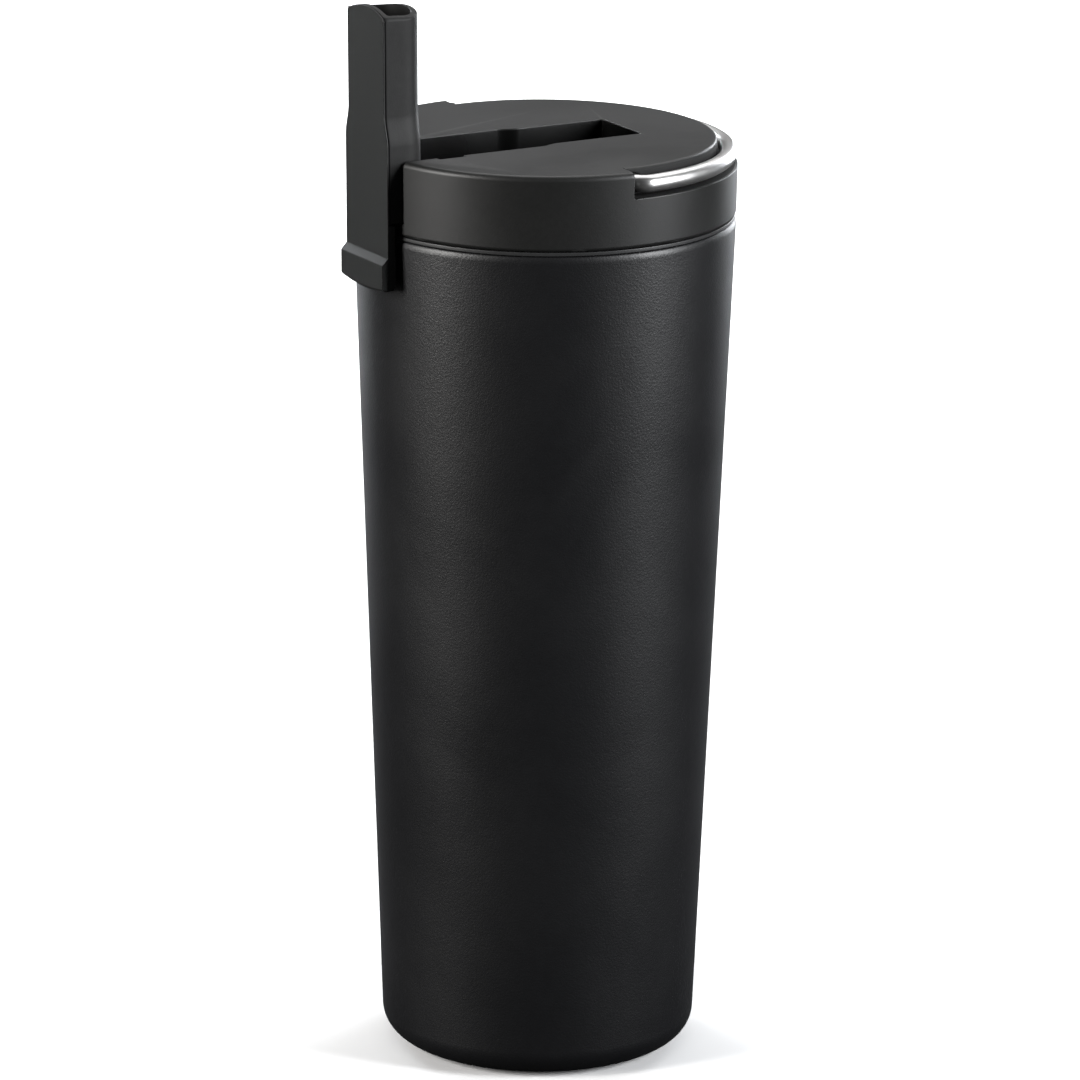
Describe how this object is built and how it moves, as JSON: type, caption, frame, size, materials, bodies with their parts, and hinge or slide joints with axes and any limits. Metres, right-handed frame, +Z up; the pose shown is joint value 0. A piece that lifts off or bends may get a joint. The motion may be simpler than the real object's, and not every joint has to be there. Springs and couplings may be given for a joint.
{
  "type": "insulated travel mug",
  "caption": "Tapered double-wall travel mug with a screw-in lid, a flip-up straw spout lever and a folding wire carry loop.",
  "frame": {"origin": "centre of the base pad's underside, on the table", "axes": "+Z up along the vessel's axis, -X towards the raised spout lever, +X towards the carry loop"},
  "size_m": [0.0845, 0.081, 0.2307],
  "materials": {
    "powder_coat": "fine-grained matt powder coat",
    "liner_steel": "electropolished satin",
    "base_steel": "pressed, bare",
    "seal_glass": "fused sealing glass",
    "getter": "sintered, matt",
    "silicone": "soft matt",
    "lid_plastic": "fine spark-eroded texture",
    "plug_plastic": "satin",
    "cover_plastic": "smooth satin",
    "tube_plastic": "fine matt texture",
    "straw_plastic": "smooth",
    "loop_steel": "satin"
  },
  "bodies": {
    "vessel": {"outer_shell": "powder_coat", "inner_liner": "liner_steel", "outer_base": "base_steel", "vacuum_seal_bead": "seal_glass", "getter_capsule": "getter", "base_pad": "silicone"},
    "lid": {"lid_shell": "lid_plastic", "lid_plug": "plug_plastic", "lid_gasket": "silicone", "spout_seal": "silicone", "straw_sleeve": "silicone", "drinking_straw": "straw_plastic", "vent_valve": "silicone"},
    "spout": {"spout_cover": "cover_plastic", "spout_tube": "tube_plastic"},
    "loop": {"carry_loop": "loop_steel"}
  },
  "joints": [
    {"name": "lid_lift", "type": "slide", "parent": "vessel", "child": "lid", "axis": [0, 0, 1], "range_m": [0, 0.18]},
    {"name": "spout_flip", "type": "hinge", "parent": "lid", "child": "spout", "pos_m": [-0.0282, 0, 0.18465], "axis": [0, 1, 0], "range_deg": [0, 90.7]},
    {"name": "loop_swing", "type": "hinge", "parent": "lid", "child": "loop", "pos_m": [0.0001, 0, 0.1961], "axis": [0, -1, 0], "range_deg": [0, 92]}
  ]
}
